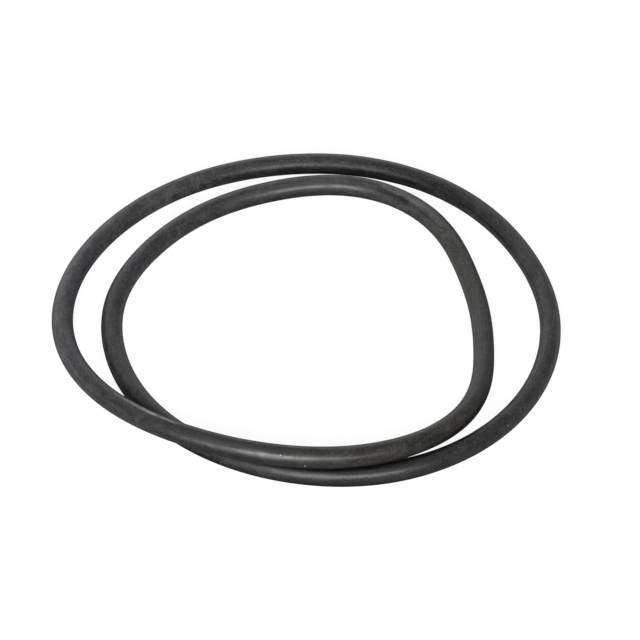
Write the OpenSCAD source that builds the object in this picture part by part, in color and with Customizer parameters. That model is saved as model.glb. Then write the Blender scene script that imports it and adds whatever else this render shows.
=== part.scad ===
// Large moulded rubber o-ring, lying doubled on itself in two loose turns.
// The ring is one closed loop of round section. Its centreline goes twice
// round the middle: the first turn is the inner one, the second the outer
// one, and they change places where the ring crosses over itself.
// The origin is on the surface that it lies on, under the middle of its
// outline, with +Z up. Sizes are in millimetres and angles in degrees.

/* [Ring as moulded] */
// Inside diameter of the free round ring
ring_inside_d = 291.47; // [200:0.01:400]
// Diameter of the round rubber section
section_d = 6.99; // [5:0.01:9]

/* [Mould parting line] */
// Height of the flash ridge that the joint of the mould leaves
flash_height = 0.1; // [0.05:0.01:0.2]
// Width of the flash ridge where it meets the round section
flash_width = 0.4; // [0.3:0.05:0.8]
// Place of the outer ridge at the crossing, up from the outer side
flash_roll = 140; // [140:5:170]

/* [How it lies] */
// Direction of the crossing from the middle, from +X towards +Y
crossing_at = -93; // [-180:1:180]
// Clear height between the two strands where one lies over the other
crossing_gap = 0.25; // [0.25:0.05:1]
// Sweep on each side of the crossing over which the upper strand comes down
landing_sweep = 150; // [145:5:165]

/* [Hidden] */

half_turn = 180;
turn = 2 * half_turn;
both_turns = 2 * turn;

// Stations of the lie, spread evenly over a turn from the crossing onward.
// Radius midway between the two turns, before it is fitted to the ring's length
turn_radius = [
    76.5, 80, 79.5, 72, 69,
    69, 75, 77.5, 74, 73,
    72, 73.5, 74, 73.5, 73.5
];
// Distance from the inner turn out to the outer one, in section diameters
turn_spacing = [
    -0.05, 0.45, 1.15, 3.1, 3.45,
    3.1, 2.1, 1.4, 1.95, 2.3,
    2.5, 2.4, 2.35, 1.4, 0.4
];
stations = len(turn_radius);

// The ring is as long doubled over as it was when it was moulded
centreline_length = PI * (ring_inside_d + section_d);

// Fineness of the swept skin: rings of points along it, and steps on each
// flank of the section from one flash ridge to the other
rings = 216;
flank_steps = 9;
ring_sweep = both_turns / rings;

rubber_colour = [0.22, 0.22, 0.23];

function total(values) = values * [for (value = values) 1];
function unit(v) = v / norm(v);

// Shares of four neighbouring stations, at t from the second to the third
function spline_shares(t) = [
    pow(1 - t, 3),
    3 * pow(t, 3) - 6 * pow(t, 2) + 4,
    -3 * pow(t, 3) + 3 * pow(t, 2) + 3 * t + 1,
    pow(t, 3)
] / 6;

function station_value(values, i) = values[(i + stations) % stations];

// The inner turn becomes the outer one after each full turn, so the spacing
// changes its sign there
function turn_sign(i) = floor(i / stations) % 2 == 0 ? 1 : -1;

function middle_radius(a) =
    let (u = a * stations / turn, i = floor(u))
    spline_shares(u - i) * [for (k = [i - 1 : i + 2]) station_value(turn_radius, k)];

function half_spacing(a) =
    let (u = a * stations / turn, i = floor(u))
    section_d / 2 * spline_shares(u - i)
    * [for (k = [i - 1 : i + 2]) turn_sign(k) * station_value(turn_spacing, k)];

// Rise of the upper strand off the surface: a long springy hump over the
// lower strand that comes down flat at both ends
function rise(a) =
    let (away = min(a, both_turns - a), u = max(0, 1 - away / landing_sweep))
    (section_d + crossing_gap) * pow(u, 3) * (4 - 3 * u);

// Centreline after it has gone a degrees round from the crossing
function laid_point(a, fit) =
    let (r = fit * middle_radius(a) - half_spacing(a))
    [r * cos(a + crossing_at), r * sin(a + crossing_at), section_d / 2 + rise(a)];

function laid_length(fit) =
    let (route = [for (i = [0 : rings]) laid_point((i % rings) * ring_sweep, fit)])
    total([for (i = [1 : rings]) norm(route[i] - route[i - 1])]);

// Fit of the turns' radius that keeps the moulded length, by two steps along
// the slope of the length
fit_step = 0.1;
fit_slope = (laid_length(1 + fit_step) - laid_length(1 - fit_step)) / (2 * fit_step);
function refit(fit) = fit + (centreline_length - laid_length(fit)) / fit_slope;
ring_fit = refit(refit(1));

// Round section with a flash ridge on two opposite sides, as [angle, radius].
// Each ridge has its crest on the line and its feet half its width away.
flash_foot_angle = asin(flash_width / section_d);
flank_angle = (half_turn - 2 * flash_foot_angle) / flank_steps;
section = [
    for (ridge_at = [0, half_turn])
    each [
        [ridge_at, section_d / 2 + flash_height],
        for (i = [0 : flank_steps])
        [ridge_at + flash_foot_angle + i * flank_angle, section_d / 2]
    ]
];

// The crossing leaves the doubled ring with one full twist, spread evenly
function roll(a) = flash_roll - turn * a / both_turns;

// Points of the section round the centreline, on a frame that stays level
function skin_ring(a) =
    let (
        behind = laid_point((a - ring_sweep + both_turns) % both_turns, ring_fit),
        ahead = laid_point((a + ring_sweep) % both_turns, ring_fit),
        along = unit(ahead - behind),
        outward = unit(cross(along, [0, 0, 1])),
        upward = cross(outward, along)
    )
    [
        for (p = section)
        let (angle = p[0] + roll(a))
        laid_point(a, ring_fit) + p[1] * (cos(angle) * outward + sin(angle) * upward)
    ];

skin = [for (i = [0 : rings - 1]) each skin_ring(i * ring_sweep)];
low = [for (axis = [0 : 2]) min([for (p = skin) p[axis]])];
high = [for (axis = [0 : 2]) max([for (p = skin) p[axis]])];
seat = [(low[0] + high[0]) / 2, (low[1] + high[1]) / 2, low[2]];

// Point j of ring i. The last ring joins the first one after the full twist.
function skin_index(i, j) = (i % rings) * len(section) + j % len(section);

module o_ring() {
    color(rubber_colour)
    polyhedron(
        points = [for (p = skin) p - seat],
        faces = [
            for (i = [0 : rings - 1], j = [0 : len(section) - 1])
            each [
                [skin_index(i, j), skin_index(i + 1, j + 1), skin_index(i + 1, j)],
                [skin_index(i, j), skin_index(i, j + 1), skin_index(i + 1, j + 1)]
            ]
        ],
        convexity = 6
    );
}

o_ring();
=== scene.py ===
"""A large moulded rubber o-ring that lies doubled on itself in two loose turns.

The centreline is laid from the same stations as the part's source. A Geometry Nodes tree sweeps
the round section and its two flash ridges along it, and a rubber finish covers the result.
Lengths are in metres, and names say where an angle is in degrees.

A place on the ring is given by its sweep, from 0 at the crossing to 720 degrees after both turns,
and by its angle round the section, from 0 at the outer flash ridge.
"""
import math
from types import SimpleNamespace

import bpy
import numpy as np
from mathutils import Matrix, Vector


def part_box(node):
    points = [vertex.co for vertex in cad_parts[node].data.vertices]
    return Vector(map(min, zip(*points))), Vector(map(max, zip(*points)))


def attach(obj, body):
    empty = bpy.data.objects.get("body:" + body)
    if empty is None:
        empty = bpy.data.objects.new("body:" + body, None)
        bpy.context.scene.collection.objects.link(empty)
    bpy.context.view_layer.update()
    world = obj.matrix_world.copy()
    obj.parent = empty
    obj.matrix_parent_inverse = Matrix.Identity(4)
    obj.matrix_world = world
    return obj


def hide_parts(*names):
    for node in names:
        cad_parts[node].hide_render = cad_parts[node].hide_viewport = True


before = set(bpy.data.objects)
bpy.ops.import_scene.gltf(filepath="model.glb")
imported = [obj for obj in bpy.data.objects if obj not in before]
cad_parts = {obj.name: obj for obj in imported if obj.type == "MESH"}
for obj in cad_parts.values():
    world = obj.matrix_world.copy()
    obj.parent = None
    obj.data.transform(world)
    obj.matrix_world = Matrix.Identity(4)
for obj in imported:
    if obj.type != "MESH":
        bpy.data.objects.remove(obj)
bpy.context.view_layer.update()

MM = 0.001

# Ring as moulded
RING_INSIDE_D = 291.47 * MM
SECTION_D = 6.99 * MM
SECTION_R = SECTION_D / 2
RING_MEAN_D = RING_INSIDE_D + SECTION_D
RING_MEAN_R = RING_MEAN_D / 2
FLASH_HEIGHT = 0.1 * MM
FLASH_WIDTH = 0.4 * MM
FLASH_ROLL_DEG = 140

# How it lies: stations spread evenly over a turn from the crossing onward
CROSSING_AT_DEG = -93
CROSSING_GAP = 0.25 * MM
LANDING_SWEEP_DEG = 150
TURN_RADIUS_MM = [
    76.5, 80, 79.5, 72, 69,
    69, 75, 77.5, 74, 73,
    72, 73.5, 74, 73.5, 73.5,
]
TURN_SPACING_SECTIONS = [
    -0.05, 0.45, 1.15, 3.1, 3.45,
    3.1, 2.1, 1.4, 1.95, 2.3,
    2.5, 2.4, 2.35, 1.4, 0.4,
]
TURN_DEG = 360
BOTH_TURNS_DEG = 2 * TURN_DEG

# Fineness of the skin: points along the ring and round its section
RING_POINTS = 1300
SECTION_POINTS = 72
# Share by which the section's points draw together at the flash ridges
RIDGE_CROWDING = 0.75
# How much steeper than a straight slope a ridge rises, and how much its crest is rounded
RIDGE_STEEPNESS = 1.3
RIDGE_ROUNDING = 0.3

# Slight unevenness of the skin: its height, its features a metre and its seed
RELIEF_HEIGHT = 0.06 * MM
RELIEF_A_METRE = 160.0
RELIEF_SEED = 3.0

# Noise patterns of the rubber. The scale is in features a metre.
MOTTLE = {"Scale": 500, "Detail": 5, "Roughness": 0.65}
PORES = {"Scale": 2300, "Detail": 3, "Roughness": 0.7}
CLOUDS = {"Scale": 62, "Detail": 3, "Roughness": 0.5}
FLECKS = {"Scale": 2300, "Detail": 2, "Roughness": 0.6}
STREAKS = {"Scale": 620, "Detail": 3, "Roughness": 0.6}
DUST = {"Scale": 125, "Detail": 6, "Roughness": 0.72, "Distortion": 0.6}
GRAIN = {"Scale": 2600, "Detail": 3, "Roughness": 0.6}
MOULD_LINES = {"Scale": 1400, "Detail": 2, "Roughness": 0.5}
SPECKS_A_METRE = 420.0
# Patterns drawn out lengthwise are given this share of a place's distance along the ring
SMEARED_SHARE = 0.4
DRAWN_SHARE = 0.12

# Colours of the rubber and of what lies on it, among them painted highlights and painted shade
DEEP_BLACK = (0.0115, 0.0115, 0.0117, 1)
WORN_BLACK = (0.0385, 0.0385, 0.0388, 1)
PORE_BLACK = (0.006, 0.006, 0.0062, 1)
FLECK_GREY = (0.1, 0.1, 0.101, 1)
CLOUD_BROWN = (0.018, 0.0173, 0.0162, 1)
STREAK_BLACK = (0.011, 0.011, 0.0115, 1)
DUST_GREY = (0.062, 0.062, 0.064, 1)
SPECK_GREY = (0.2, 0.2, 0.2, 1)
HIGHLIGHT_AND_SCUFF_GREY = (0.27, 0.27, 0.275, 1)
LINT_GREY = (0.3, 0.3, 0.3, 1)
# Painted shade in the crevices between strands
CREVICE_SHADE_BLACK = (0.002, 0.002, 0.002, 1)

# Tints that darken, lighten or colour the rubber where they are laid over it
OLIVE_TINT = (1.05, 1.0, 0.83, 1)
COOL_TINT = (0.98, 0.97, 1.13, 1)
DUST_AND_SHEEN_TINT = (1.6, 1.6, 1.6, 1)
RUBBED_TINT = (0.5, 0.5, 0.5, 1)
# Darkens the rubber as painted shade, and for one smudge
SHADE_AND_SMUDGE_TINT = (0.3, 0.3, 0.3, 1)

# Stretches of the skin, each as the sweep at its middle, half its sweep and its strength
RUBBED_STRETCHES = [(706, 29, 1.0), (374, 23, 0.5), (193, 33, 1.0), (546, 40, 0.1)]
# Dust, and painted sheen: paler stretches round the far strands' broad highlights
DUST_AND_SHEEN_STRETCHES = [(190, 85, 0.85), (595, 80, 1.0)]
OLIVE_STRETCHES = [(25, 34, 0.8), (112, 40, 0.6)]
COOL_STRETCHES = [(265, 50, 0.6), (480, 40, 0.5), (632, 45, 0.8)]

# Bands of the skin, each as the sweep at its middle and half its sweep, the angle round the
# section at its middle and half its width in degrees, and its strength
# Painted highlight on the upper strand's top edge near the crossing, painted sheen along the outer
# edges of the far and left strands, and one pale scuff at sweep 152
HIGHLIGHT_AND_SCUFF_BANDS = [
    (680, 12, 57, 15, 1.0), (152, 17, -36, 24, 0.26),
    (205, 62, -42, 30, 0.14), (615, 48, 120, 38, 0.12),
]
# Painted shade under and beside the strands and along their lower edges, and one dark smudge at
# sweep 156
SHADE_AND_SMUDGE_BANDS = [
    (495, 29, 108, 28, 0.9), (526, 20, 80, 24, 0.7), (554, 22, 52, 34, 0.75),
    (45, 24, 104, 32, 0.8), (60, 17, 74, 24, 0.8), (77, 22, 55, 18, 0.7),
    (350, 32, -8, 30, 0.9), (384, 26, -20, 30, 0.9), (404, 20, -40, 28, 0.8),
    (402, 22, -90, 110, 0.4), (378, 24, -114, 26, 0.85), (156, 7, -66, 22, 0.9),
]
# Single specks of lint, each as its sweep and its angle round the section
LINT_SPECKS_DEG = [(717, 98.7), (2.8, 151.2)]
LINT_RADIUS = 0.3 * MM

# Finish of the rubber: its specular level, its roughness where rubbed, and its bump's height
RUBBER_SPECULAR = 0.15
RUBBED_ROUGHNESS = 0.28
BUMP_HEIGHT = 0.02 * MM

# Reach within which a strand shades the rubber beside it and the floor that it mirrors, and
# the samples that the shade is worked out from
CREVICE_REACH = 7 * MM
FLOOR_SHADE_REACH = 14 * MM
SHADE_SAMPLES = 8

# The picture: the camera's height above the floor, and the spot it looks at
CAMERA_ELEVATION_DEG = 41.1
CAMERA_DISTANCE = 1.66
CAMERA_LENS_MM = 277.8
CAMERA_CLIP_END = 10
CAMERA_AIM = Vector((0.0046, 0.0011, 0))

# The studio: the floor is white by the sum of its lit share and its glow
FLOOR_HALF = 3.0
FLOOR_LIT = 0.12
FLOOR_GLOW = 0.93
ROOM_LIGHT = 0.03
LAMP_DISTANCE = 1.5
WHITE = (1, 1, 1, 1)

# Places of the colour sockets on Blender's Mix node, which share their names with other types
MIX_UNDER, MIX_OVER, MIX_RESULT = 6, 7, 2


def spline_shares(t):
    """Shares of four neighbouring stations, at t from the second to the third."""
    return np.array([
        (1 - t) ** 3,
        3 * t ** 3 - 6 * t ** 2 + 4,
        -3 * t ** 3 + 3 * t ** 2 + 3 * t + 1,
        t ** 3,
    ]) / 6


def along_stations(values, sweep_deg, swaps=False):
    """The spline through a turn's values; where it swaps, its sign changes after each turn."""
    values = np.array(values, float)
    place = sweep_deg * len(values) / TURN_DEG
    second = np.floor(place).astype(int)
    total = np.zeros(len(place))
    for step, share in zip((-1, 0, 1, 2), spline_shares(place - second)):
        turns, station = np.divmod(second + step, len(values))
        sign = np.where(turns % 2 == 0, 1, -1) if swaps else 1
        total += share * sign * values[station]
    return total


def rise(sweep_deg):
    """Height of the upper strand off the floor: a springy hump over the lower strand."""
    away = np.minimum(sweep_deg, BOTH_TURNS_DEG - sweep_deg)
    u = np.clip(1 - away / LANDING_SWEEP_DEG, 0, 1)
    return (SECTION_D + CROSSING_GAP) * u ** 3 * (4 - 3 * u)


def laid_centreline(sweep_deg, fit):
    """Points of the centreline, with the turns' radius multiplied by the fit."""
    radius = fit * MM * along_stations(TURN_RADIUS_MM, sweep_deg)
    radius -= SECTION_R * along_stations(TURN_SPACING_SECTIONS, sweep_deg, swaps=True)
    direction = np.radians(sweep_deg + CROSSING_AT_DEG)
    height = SECTION_R + rise(sweep_deg)
    return np.stack([radius * np.cos(direction), radius * np.sin(direction), height], axis=1)


def loop_length(points):
    return np.linalg.norm(np.roll(points, -1, axis=0) - points, axis=1).sum()


def fitted_centreline(sweep_deg):
    """The laid centreline at the ring's moulded length, centred on the CAD ring."""
    moulded_length = math.pi * RING_MEAN_D
    fit_step = 0.1
    longer, shorter = (loop_length(laid_centreline(sweep_deg, 1 + s * fit_step)) for s in (1, -1))
    slope = (longer - shorter) / (2 * fit_step)
    fit = 1
    for _ in range(2):
        fit += (moulded_length - loop_length(laid_centreline(sweep_deg, fit))) / slope
    points = laid_centreline(sweep_deg, fit)
    middle = (points.min(axis=0) + points.max(axis=0)) / 2
    low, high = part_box("o_ring")
    points[:, 0] += (low.x + high.x) / 2 - middle[0]
    points[:, 1] += (low.y + high.y) / 2 - middle[1]
    # Somewhere a ridge points straight down, and holds the round section off the floor
    points[:, 2] += low.z + FLASH_HEIGHT
    return points


def moulded_deg(sweep_deg):
    """Angle round the free ring, which both laid turns together go round once."""
    return sweep_deg * TURN_DEG / BOTH_TURNS_DEG


class NodeTree:
    """Short calls that add the nodes of one tree and link them."""

    def __init__(self, tree):
        self.tree = tree

    def add(self, kind, inputs=None, **settings):
        """A new node with its settings made, and its inputs set or linked."""
        node = self.tree.nodes.new(kind)
        for name, value in settings.items():
            setattr(node, name, value)
        for name, value in (inputs or {}).items():
            self.feed(node.inputs[name], value)
        return node

    def feed(self, socket, value):
        """Links a socket to another one, or sets it to a constant."""
        if isinstance(value, bpy.types.NodeSocket):
            self.tree.links.new(value, socket)
        else:
            socket.default_value = value

    def math(self, operation, *values):
        node = self.add("ShaderNodeMath", dict(enumerate(values)), operation=operation)
        return node.outputs[0]

    def vector(self, x=0.0, y=0.0, z=0.0):
        return self.add("ShaderNodeCombineXYZ", {"X": x, "Y": y, "Z": z}).outputs[0]

    def on_circle(self, radius, angle, z=0.0):
        """The point at an angle round a circle about the Z axis."""
        return self.vector(
            self.math("MULTIPLY", radius, self.math("COSINE", angle)),
            self.math("MULTIPLY", radius, self.math("SINE", angle)),
            z,
        )

    def stored(self, data_type, name):
        """A named attribute, read in a Geometry Nodes tree."""
        node = self.add("GeometryNodeInputNamedAttribute", {"Name": name}, data_type=data_type)
        return node.outputs["Attribute"]

    def store(self, geometry, data_type, name, value):
        """A named attribute, written on points in a Geometry Nodes tree."""
        node = self.add(
            "GeometryNodeStoreNamedAttribute",
            {"Geometry": geometry, "Name": name, "Value": value},
            data_type=data_type,
            domain="POINT",
        )
        return node.outputs[0]

    def shown(self, name):
        """A named attribute, read as a vector in a material."""
        return self.add("ShaderNodeAttribute", attribute_name=name).outputs["Vector"]


def noise_3d(nodes, point, pattern):
    """A noise pattern's value at a point."""
    return nodes.add("ShaderNodeTexNoise", {"Vector": point, **pattern}).outputs[0]


def noise_4d(nodes, place, pattern):
    """A noise pattern's value at a place, which is a point and its fourth coordinate."""
    point, fourth = place
    node = nodes.add(
        "ShaderNodeTexNoise",
        {"Vector": point, "W": fourth, **pattern},
        noise_dimensions="4D",
    )
    return node.outputs[0]


def section_profile(nodes, size):
    """The round section with a flash ridge on two opposite sides, as a closed curve."""
    circle = nodes.add(
        "GeometryNodeCurvePrimitiveCircle",
        {"Resolution": size["Section Points"], "Radius": 1.0},
    )
    step = nodes.math("DIVIDE", 2 * math.pi, size["Section Points"])
    even = nodes.math("MULTIPLY", nodes.add("GeometryNodeInputIndex").outputs[0], step)
    double = nodes.math("SINE", nodes.math("MULTIPLY", even, 2.0))
    crowding = nodes.math("MULTIPLY", nodes.math("MULTIPLY", double, size["Ridge Crowding"]), 0.5)
    angle = nodes.math("SUBTRACT", even, crowding)
    curve = nodes.store(circle.outputs["Curve"], "FLOAT", "section_angle", angle)

    angle = nodes.stored("FLOAT", "section_angle")
    radius = nodes.math("DIVIDE", size["Section Diameter"], 2.0)
    off_line = nodes.math("MULTIPLY", nodes.math("ABSOLUTE", nodes.math("SINE", angle)), radius)
    foot = nodes.math("DIVIDE", size["Flash Width"], 2.0)
    slope = nodes.math("SUBTRACT", 1.0, nodes.math("DIVIDE", off_line, foot))
    ridge = nodes.math("MULTIPLY", nodes.math("MAXIMUM", slope, 0.0), RIDGE_STEEPNESS)
    rounded = nodes.math("SMOOTH_MIN", ridge, 1.0, RIDGE_ROUNDING)
    reach = nodes.math("MULTIPLY_ADD", rounded, size["Flash Height"], radius)
    place = nodes.on_circle(reach, angle)
    shaped = nodes.add("GeometryNodeSetPosition", {"Geometry": curve, "Position": place})
    return shaped.outputs[0]


def swept_section(nodes, size):
    """The section swept along the centreline, level apart from its own roll."""
    rail = nodes.add("GeometryNodeMeshToCurve", {"Mesh": size["Geometry"]})
    level = nodes.add("GeometryNodeSetCurveNormal", {"Curve": rail.outputs[0]}, mode="Z_UP")
    rolled = nodes.add(
        "GeometryNodeSetCurveTilt",
        {"Curve": level.outputs[0], "Tilt": nodes.stored("FLOAT", "roll")},
    )
    swept = nodes.add(
        "GeometryNodeCurveToMesh",
        {"Curve": rolled.outputs[0], "Profile Curve": section_profile(nodes, size)},
    )
    return swept.outputs[0]


def with_moulded_places(nodes, size, skin):
    """Stores where each point lies on the free ring: on its skin, along it and round it."""
    along = nodes.stored("FLOAT", "ring_angle")
    around = nodes.stored("FLOAT", "section_angle")
    ring_radius = nodes.math("DIVIDE", size["Ring Diameter"], 2.0)
    section_radius = nodes.math("DIVIDE", size["Section Diameter"], 2.0)
    reach = nodes.math("MULTIPLY_ADD", section_radius, nodes.math("COSINE", around), ring_radius)
    height = nodes.math("MULTIPLY", section_radius, nodes.math("SINE", around))
    for name, place in (
        ("moulded_place", nodes.on_circle(reach, along, height)),
        ("place_along", nodes.on_circle(ring_radius, along)),
        ("place_around", nodes.on_circle(section_radius, around)),
    ):
        skin = nodes.store(skin, "FLOAT_VECTOR", name, place)
    return skin


def with_relief(nodes, size, skin):
    """Eases the skin in and out a little, as moulded rubber is never quite even."""
    place = nodes.stored("FLOAT_VECTOR", "moulded_place"), size["Relief Seed"]
    relief = noise_4d(nodes, place, {"Scale": size["Relief Detail"], "Detail": 2.0})
    depth = nodes.math("MULTIPLY", nodes.math("SUBTRACT", relief, 0.5), size["Relief Height"])
    push = nodes.add(
        "ShaderNodeVectorMath",
        {0: nodes.add("GeometryNodeInputNormal").outputs[0], "Scale": depth},
        operation="SCALE",
    )
    eased = nodes.add("GeometryNodeSetPosition", {"Geometry": skin, "Offset": push.outputs[0]})
    return eased.outputs[0]


def sweep_tree():
    """Sweeps the section along the laid centreline and gives the skin its finish."""
    tree = bpy.data.node_groups.new("Swept ring", "GeometryNodeTree")
    nodes = NodeTree(tree)
    sockets = tree.interface
    sockets.new_socket("Geometry", in_out="INPUT", socket_type="NodeSocketGeometry")
    sockets.new_socket("Geometry", in_out="OUTPUT", socket_type="NodeSocketGeometry")
    for name, kind in (
        ("Ring Diameter", "Float"),
        ("Section Diameter", "Float"),
        ("Section Points", "Int"),
        ("Ridge Crowding", "Float"),
        ("Flash Height", "Float"),
        ("Flash Width", "Float"),
        ("Relief Height", "Float"),
        ("Relief Detail", "Float"),
        ("Relief Seed", "Float"),
        ("Rubber", "Material"),
    ):
        sockets.new_socket(name, in_out="INPUT", socket_type="NodeSocket" + kind)
    size = nodes.add("NodeGroupInput").outputs

    skin = with_moulded_places(nodes, size, swept_section(nodes, size))
    skin = with_relief(nodes, size, skin)
    smooth = nodes.add("GeometryNodeSetShadeSmooth", {"Geometry": skin})
    covered = nodes.add(
        "GeometryNodeSetMaterial",
        {"Geometry": smooth.outputs[0], "Material": size["Rubber"]},
    )
    real = nodes.add("GeometryNodeRealizeInstances", {"Geometry": covered.outputs[0]})
    nodes.add("NodeGroupOutput", {"Geometry": real.outputs[0]})
    return tree


def centreline_object():
    """The laid centreline as a closed loop of edges, with each point's angle and roll."""
    sweep_deg = np.arange(RING_POINTS) * BOTH_TURNS_DEG / RING_POINTS
    points = fitted_centreline(sweep_deg)
    mesh = bpy.data.meshes.new("ring_centreline")
    edges = [(i, (i + 1) % RING_POINTS) for i in range(RING_POINTS)]
    mesh.from_pydata(points.tolist(), edges, [])
    ring_deg = moulded_deg(sweep_deg)
    # The crossing leaves one full twist in the doubled ring, and the roll spreads it evenly
    for name, angle_deg in (("ring_angle", ring_deg), ("roll", ring_deg - FLASH_ROLL_DEG)):
        attribute = mesh.attributes.new(name, "FLOAT", "POINT")
        attribute.data.foreach_set("value", np.radians(angle_deg))
    rail = bpy.data.objects.new("ring_centreline", mesh)
    bpy.context.scene.collection.objects.link(rail)
    return rail


def set_inputs(modifier, values):
    """Sets a Geometry Nodes modifier's inputs by their sockets' identifiers."""
    identifiers = {
        item.name: item.identifier
        for item in modifier.node_group.interface.items_tree
        if item.item_type == "SOCKET" and item.in_out == "INPUT"
    }
    for name, value in values.items():
        modifier[identifiers[name]] = value


def rubber_ring(rubber):
    """The ring as one plain mesh, swept along the centreline and covered with rubber."""
    rail = centreline_object()
    sweep = rail.modifiers.new("Sweep", "NODES")
    sweep.node_group = sweep_tree()
    set_inputs(sweep, {
        "Ring Diameter": RING_MEAN_D,
        "Section Diameter": SECTION_D,
        "Section Points": SECTION_POINTS,
        "Ridge Crowding": RIDGE_CROWDING,
        "Flash Height": FLASH_HEIGHT,
        "Flash Width": FLASH_WIDTH,
        "Relief Height": RELIEF_HEIGHT,
        "Relief Detail": RELIEF_A_METRE,
        "Relief Seed": RELIEF_SEED,
        "Rubber": rubber,
    })
    bpy.context.view_layer.update()
    evaluated = rail.evaluated_get(bpy.context.evaluated_depsgraph_get())
    mesh = bpy.data.meshes.new_from_object(evaluated)
    mesh.name = "rubber_ring"
    rail.modifiers.clear()
    bpy.data.objects.remove(rail)
    ring = bpy.data.objects.new("rubber_ring", mesh)
    bpy.context.scene.collection.objects.link(ring)
    return ring


def spread(nodes, value, low, high, to_low=0.0, to_high=1.0):
    """Stretches low..high to another range, smoothly and with flat ends."""
    node = nodes.add(
        "ShaderNodeMapRange",
        {"Value": value, "From Min": low, "From Max": high, "To Min": to_low, "To Max": to_high},
        interpolation_type="SMOOTHSTEP",
    )
    return node.outputs[0]


def blend(nodes, amount, under, over, how="MIX"):
    """Lays one colour over another by an amount."""
    node = nodes.add("ShaderNodeMix", data_type="RGBA", blend_type=how)
    nodes.feed(node.inputs["Factor"], amount)
    nodes.feed(node.inputs[MIX_UNDER], under)
    nodes.feed(node.inputs[MIX_OVER], over)
    return node.outputs[MIX_RESULT]


def open_share(nodes, reach, **settings):
    """How open a place is to its surroundings within a reach, from 0 to 1."""
    node = nodes.add(
        "ShaderNodeAmbientOcclusion",
        {"Distance": reach},
        samples=SHADE_SAMPLES,
        **settings,
    )
    return node.outputs["AO"]


def lengthwise_place(nodes, along_share):
    """A 4D place on the ring's skin in which patterns stretch along the ring."""
    ring = nodes.add("ShaderNodeSeparateXYZ", {0: nodes.shown("place_along")}).outputs
    section = nodes.add("ShaderNodeSeparateXYZ", {0: nodes.shown("place_around")}).outputs
    point = nodes.vector(
        nodes.math("MULTIPLY", ring["X"], along_share),
        nodes.math("MULTIPLY", ring["Y"], along_share),
        section["X"],
    )
    return point, section["Y"]


def near_angle(nodes, attribute, radius, middle_deg, half_deg, strength):
    """The strength at the middle angle of a circle, fading to zero at half_deg on each side."""
    middle = math.radians(middle_deg)
    towards = (math.cos(middle), math.sin(middle), 0)
    dot = nodes.add(
        "ShaderNodeVectorMath",
        {0: nodes.shown(attribute), 1: towards},
        operation="DOT_PRODUCT",
    )
    end = radius * math.cos(math.radians(half_deg))
    return spread(nodes, dot.outputs["Value"], end, radius, 0.0, strength)


def stretch(nodes, sweep_deg, half_sweep_deg, strength):
    """The strength of one stretch of the ring, and zero off it, with soft ends."""
    middle_deg, half_deg = moulded_deg(sweep_deg), moulded_deg(half_sweep_deg)
    return near_angle(nodes, "place_along", RING_MEAN_R, middle_deg, half_deg, strength)


def stretches(nodes, places):
    """The greatest strength of the given stretches at each place."""
    total = 0.0
    for place in places:
        total = nodes.math("MAXIMUM", stretch(nodes, *place), total)
    return total


def bands(nodes, places):
    """The greatest strength of the given bands of the skin at each place, with soft edges."""
    total = 0.0
    for sweep_deg, half_sweep_deg, around_deg, half_around_deg, strength in places:
        along = stretch(nodes, sweep_deg, half_sweep_deg, 1.0)
        around = near_angle(nodes, "place_around", SECTION_R, around_deg, half_around_deg, strength)
        total = nodes.math("MAXIMUM", nodes.math("MULTIPLY", along, around), total)
    return total


def lint(nodes, point):
    """One on the single specks of lint, and zero off them."""
    total = 0.0
    for sweep_deg, around_deg in LINT_SPECKS_DEG:
        along, around = math.radians(moulded_deg(sweep_deg)), math.radians(around_deg)
        reach = RING_MEAN_R + SECTION_R * math.cos(around)
        spot = (reach * math.cos(along), reach * math.sin(along), SECTION_R * math.sin(around))
        gap = nodes.add("ShaderNodeVectorMath", {0: point, 1: spot}, operation="DISTANCE")
        amount = spread(nodes, gap.outputs["Value"], LINT_RADIUS, LINT_RADIUS / 2)
        total = nodes.math("MAXIMUM", amount, total)
    return total


def specks(nodes, point):
    """One on a few small round specks, and zero off them."""
    cells = nodes.add("ShaderNodeTexVoronoi", {"Vector": point, "Scale": SPECKS_A_METRE}).outputs
    chance = nodes.add("ShaderNodeSeparateColor", {0: cells["Color"]}).outputs[0]
    spot = spread(nodes, cells["Distance"], 0.22, 0.12)
    return nodes.math("MULTIPLY", spot, spread(nodes, chance, 0.985, 0.99))


def skin_patterns(nodes):
    """The patterns of the rubber's skin, each from 0 to 1."""
    point = nodes.shown("moulded_place")
    smeared = lengthwise_place(nodes, SMEARED_SHARE)
    drawn = lengthwise_place(nodes, DRAWN_SHARE)
    return SimpleNamespace(
        mottle=spread(nodes, noise_4d(nodes, smeared, MOTTLE), 0.36, 0.64),
        pores=spread(nodes, noise_4d(nodes, smeared, PORES), 0.38, 0.62),
        clouds=spread(nodes, noise_3d(nodes, point, CLOUDS), 0.34, 0.66),
        flecks=spread(nodes, noise_3d(nodes, point, FLECKS), 0.6, 0.7),
        dust=spread(nodes, noise_3d(nodes, point, DUST), 0.5, 0.74),
        streaks=noise_4d(nodes, drawn, STREAKS),
        mould_lines=noise_4d(nodes, drawn, MOULD_LINES),
        grain=noise_3d(nodes, point, GRAIN),
        specks=specks(nodes, point),
        lint=lint(nodes, point),
        rubbed=stretches(nodes, RUBBED_STRETCHES),
    )


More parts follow.
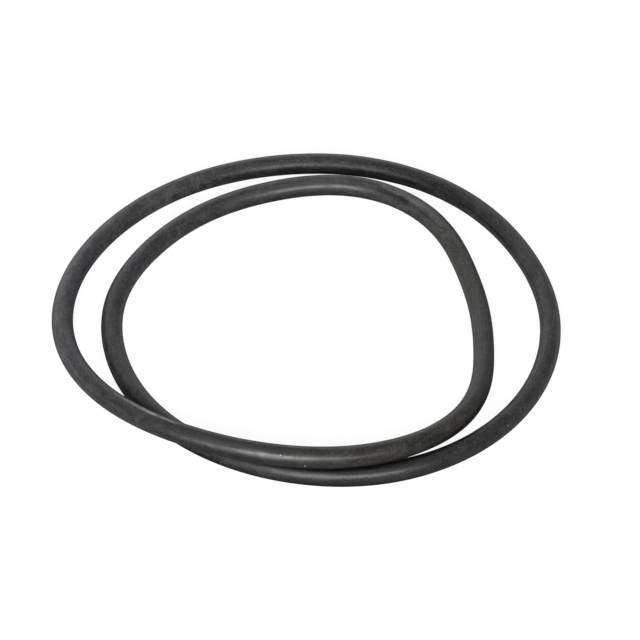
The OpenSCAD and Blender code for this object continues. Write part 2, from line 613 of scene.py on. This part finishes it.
def rubber_colour(nodes, skin):
    """Mottled blacks, then dust and specks, then the marks at their own places: painted sheen,
    painted highlights, and painted shade in bands and in the crevices.
    """
    colour = blend(nodes, skin.mottle, DEEP_BLACK, WORN_BLACK)
    for pattern, share, over in (
        (skin.pores, 0.8, PORE_BLACK),
        (skin.flecks, 0.85, FLECK_GREY),
        (skin.clouds, 0.3, CLOUD_BROWN),
        (spread(nodes, skin.streaks, 0.45, 0.75), 0.35, STREAK_BLACK),
        (skin.dust, 0.55, DUST_GREY),
        (skin.specks, 0.8, SPECK_GREY),
    ):
        colour = blend(nodes, nodes.math("MULTIPLY", pattern, share), colour, over)
    # The shade-and-smudge tint lays painted shade, with one smudge
    for amount, tint in (
        (stretches(nodes, OLIVE_STRETCHES), OLIVE_TINT),
        (stretches(nodes, COOL_STRETCHES), COOL_TINT),
        # Dust, and partly painted sheen
        (stretches(nodes, DUST_AND_SHEEN_STRETCHES), DUST_AND_SHEEN_TINT),
        (skin.rubbed, RUBBED_TINT),
        (bands(nodes, SHADE_AND_SMUDGE_BANDS), SHADE_AND_SMUDGE_TINT),
    ):
        colour = blend(nodes, amount, colour, tint, "MULTIPLY")
    # Painted highlights and sheen, and one pale scuff, broken by the mottle
    broken = nodes.math("MULTIPLY_ADD", skin.mottle, 0.8, 0.2)
    highlight_and_scuff = nodes.math("MULTIPLY", bands(nodes, HIGHLIGHT_AND_SCUFF_BANDS), broken)
    colour = blend(nodes, highlight_and_scuff, colour, HIGHLIGHT_AND_SCUFF_GREY)
    colour = blend(nodes, skin.lint, colour, LINT_GREY)
    # Painted crevice shade: the colour goes near black where a strand lies close by
    crevice_shade = spread(nodes, open_share(nodes, CREVICE_REACH, only_local=True), 0.25, 0.85, 0.85, 0.0)
    return blend(nodes, crevice_shade, colour, CREVICE_SHADE_BLACK)


def rubber_roughness(nodes, skin, edge):
    """A dull gloss that dust and pores break up, and duller still at grazing angles."""
    rough = nodes.math("MULTIPLY_ADD", skin.mottle, 0.08, 0.31)
    rough = nodes.math("MULTIPLY_ADD", skin.pores, 0.06, rough)
    rough = nodes.math("MULTIPLY_ADD", skin.dust, 0.14, rough)
    return nodes.math("ADD", rough, spread(nodes, edge, 0.55, 0.95, 0.0, 0.45))


def rubbed_gloss(nodes, skin, edge):
    """The shine of the rubbed stretches, broken by mottle and streaks, and none at the edges."""
    gloss = nodes.math("MULTIPLY", skin.rubbed, nodes.math("MULTIPLY_ADD", skin.mottle, -0.45, 1.0))
    gloss = nodes.math("MULTIPLY", gloss, spread(nodes, skin.streaks, 0.38, 0.62, 1.0, 0.6))
    return nodes.math("MULTIPLY", gloss, spread(nodes, edge, 0.03, 0.32, 1.0, 0.0))


def rubber_bump(nodes, skin):
    """Fine grain and lengthwise mould lines, too small for the mesh."""
    height = nodes.math("MULTIPLY", skin.grain, 1.5)
    height = nodes.math("MULTIPLY_ADD", skin.mould_lines, 1.4, height)
    height = nodes.math("MULTIPLY_ADD", skin.mottle, 2.0, height)
    height = nodes.math("MULTIPLY_ADD", skin.specks, 1.5, height)
    bump = nodes.add("ShaderNodeBump", {"Height": height, "Strength": 1.0, "Distance": BUMP_HEIGHT})
    return bump.outputs[0]


def rubber_material():
    """Black nitrile rubber, handled and a little dusty, with a soft broken sheen."""
    material = bpy.data.materials.new("Nitrile rubber")
    material.use_nodes = True
    nodes = NodeTree(material.node_tree)
    shader = material.node_tree.nodes["Principled BSDF"]
    skin = skin_patterns(nodes)
    edge = nodes.add("ShaderNodeLayerWeight", {"Blend": 0.5}).outputs["Facing"]
    bump = rubber_bump(nodes, skin)
    for name, value in (
        ("Base Color", rubber_colour(nodes, skin)),
        ("Roughness", rubber_roughness(nodes, skin, edge)),
        ("Specular IOR Level", RUBBER_SPECULAR),
        ("Coat Weight", rubbed_gloss(nodes, skin, edge)),
        ("Coat Roughness", RUBBED_ROUGHNESS),
        ("Normal", bump),
        ("Coat Normal", bump),
    ):
        nodes.feed(shader.inputs[name], value)
    return material


def seen_ray(nodes, mirrored_share=1.0):
    """One for rays from the camera or through glass, and a share for mirrored ones."""
    path = nodes.add("ShaderNodeLightPath").outputs
    mirrored = nodes.math("MULTIPLY", path["Is Glossy Ray"], mirrored_share)
    seen = nodes.math("MAXIMUM", path["Is Camera Ray"], mirrored)
    return nodes.math("MAXIMUM", seen, path["Is Transmission Ray"])


def floor():
    """A plain pale floor. It looks white by a glow, and its lit share carries the shadow.

    What the ring mirrors of it is dimmer close by, where the ring shades the floor.
    """
    material = bpy.data.materials.new("Pale floor")
    material.use_nodes = True
    nodes = NodeTree(material.node_tree)
    material.node_tree.nodes.clear()
    lit = nodes.add("ShaderNodeBsdfDiffuse", {"Color": (FLOOR_LIT, FLOOR_LIT, FLOOR_LIT, 1)})
    unshaded = spread(nodes, open_share(nodes, FLOOR_SHADE_REACH), 0.3, 1.0)
    strength = nodes.math("MULTIPLY", seen_ray(nodes, unshaded), FLOOR_GLOW)
    glow = nodes.add("ShaderNodeEmission", {"Color": WHITE, "Strength": strength})
    both = nodes.add("ShaderNodeAddShader", {0: lit.outputs[0], 1: glow.outputs[0]})
    nodes.add("ShaderNodeOutputMaterial", {"Surface": both.outputs[0]})
    half = FLOOR_HALF
    corners = [(-half, -half, 0), (half, -half, 0), (half, half, 0), (-half, half, 0)]
    mesh = bpy.data.meshes.new("floor")
    mesh.from_pydata(corners, [], [(0, 1, 2, 3)])
    mesh.materials.append(material)
    plane = bpy.data.objects.new("floor", mesh)
    bpy.context.scene.collection.objects.link(plane)


def surroundings():
    """A white room when seen, and a faint even light on the ring."""
    world = bpy.data.worlds.new("Studio")
    bpy.context.scene.world = world
    world.use_nodes = True
    nodes = NodeTree(world.node_tree)
    world.node_tree.nodes.clear()
    strength = nodes.math("MULTIPLY_ADD", seen_ray(nodes), 1 - ROOM_LIGHT, ROOM_LIGHT)
    glow = nodes.add("ShaderNodeBackground", {"Color": WHITE, "Strength": strength})
    nodes.add("ShaderNodeOutputWorld", {"Surface": glow.outputs[0]})


def softbox(name, azimuth_deg, elevation_deg, width, height, level):
    """A soft white lamp that faces the ring. Azimuth 0 is the camera's side and -90 its left.

    Level is the light it throws on a surface that faces it, where 1 shows a colour as written.
    """
    azimuth, elevation = math.radians(azimuth_deg), math.radians(elevation_deg)
    towards = Vector((
        math.sin(azimuth) * math.cos(elevation),
        -math.cos(azimuth) * math.cos(elevation),
        math.sin(elevation),
    ))
    lamp = bpy.data.lights.new(name, "AREA")
    lamp.shape = "RECTANGLE"
    lamp.size, lamp.size_y = width, height
    lamp.energy = level * math.pi ** 2 * LAMP_DISTANCE ** 2
    holder = bpy.data.objects.new(name, lamp)
    holder.location = towards * LAMP_DISTANCE
    holder.rotation_euler = (-towards).to_track_quat("-Z", "Y").to_euler()
    bpy.context.scene.collection.objects.link(holder)


def lamps():
    """Three soft lamps in front, one at the left, one behind and one overhead."""
    softbox("low_front_softbox", -30, 8, 1.2, 0.5, 0.3)
    softbox("left_front_softbox", -19, 28, 0.8, 0.62, 0.85)
    softbox("right_front_softbox", 18, 28, 0.55, 0.62, 0.65)
    softbox("low_side_softbox", -100, 8, 1.2, 0.4, 0.2)
    softbox("back_softbox", -165, 25, 1.8, 1.2, 0.4)
    softbox("overhead", 0, 65, 1.6, 1.6, 0.1)


def camera():
    """The photograph's view: from far off in front, looking down on the ring."""
    elevation = math.radians(CAMERA_ELEVATION_DEG)
    back = Vector((0, -math.cos(elevation), math.sin(elevation)))
    lens = bpy.data.cameras.new("picture")
    lens.lens = CAMERA_LENS_MM
    lens.clip_end = CAMERA_CLIP_END
    holder = bpy.data.objects.new("picture", lens)
    holder.location = CAMERA_AIM + back * CAMERA_DISTANCE
    holder.rotation_euler = (-back).to_track_quat("-Z", "Y").to_euler()
    bpy.context.scene.collection.objects.link(holder)
    bpy.context.scene.camera = holder


camera()
surroundings()
floor()
lamps()
bpy.context.scene.view_settings.view_transform = "Standard"

ring = rubber_ring(rubber_material())
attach(ring, "root")
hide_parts("o_ring")
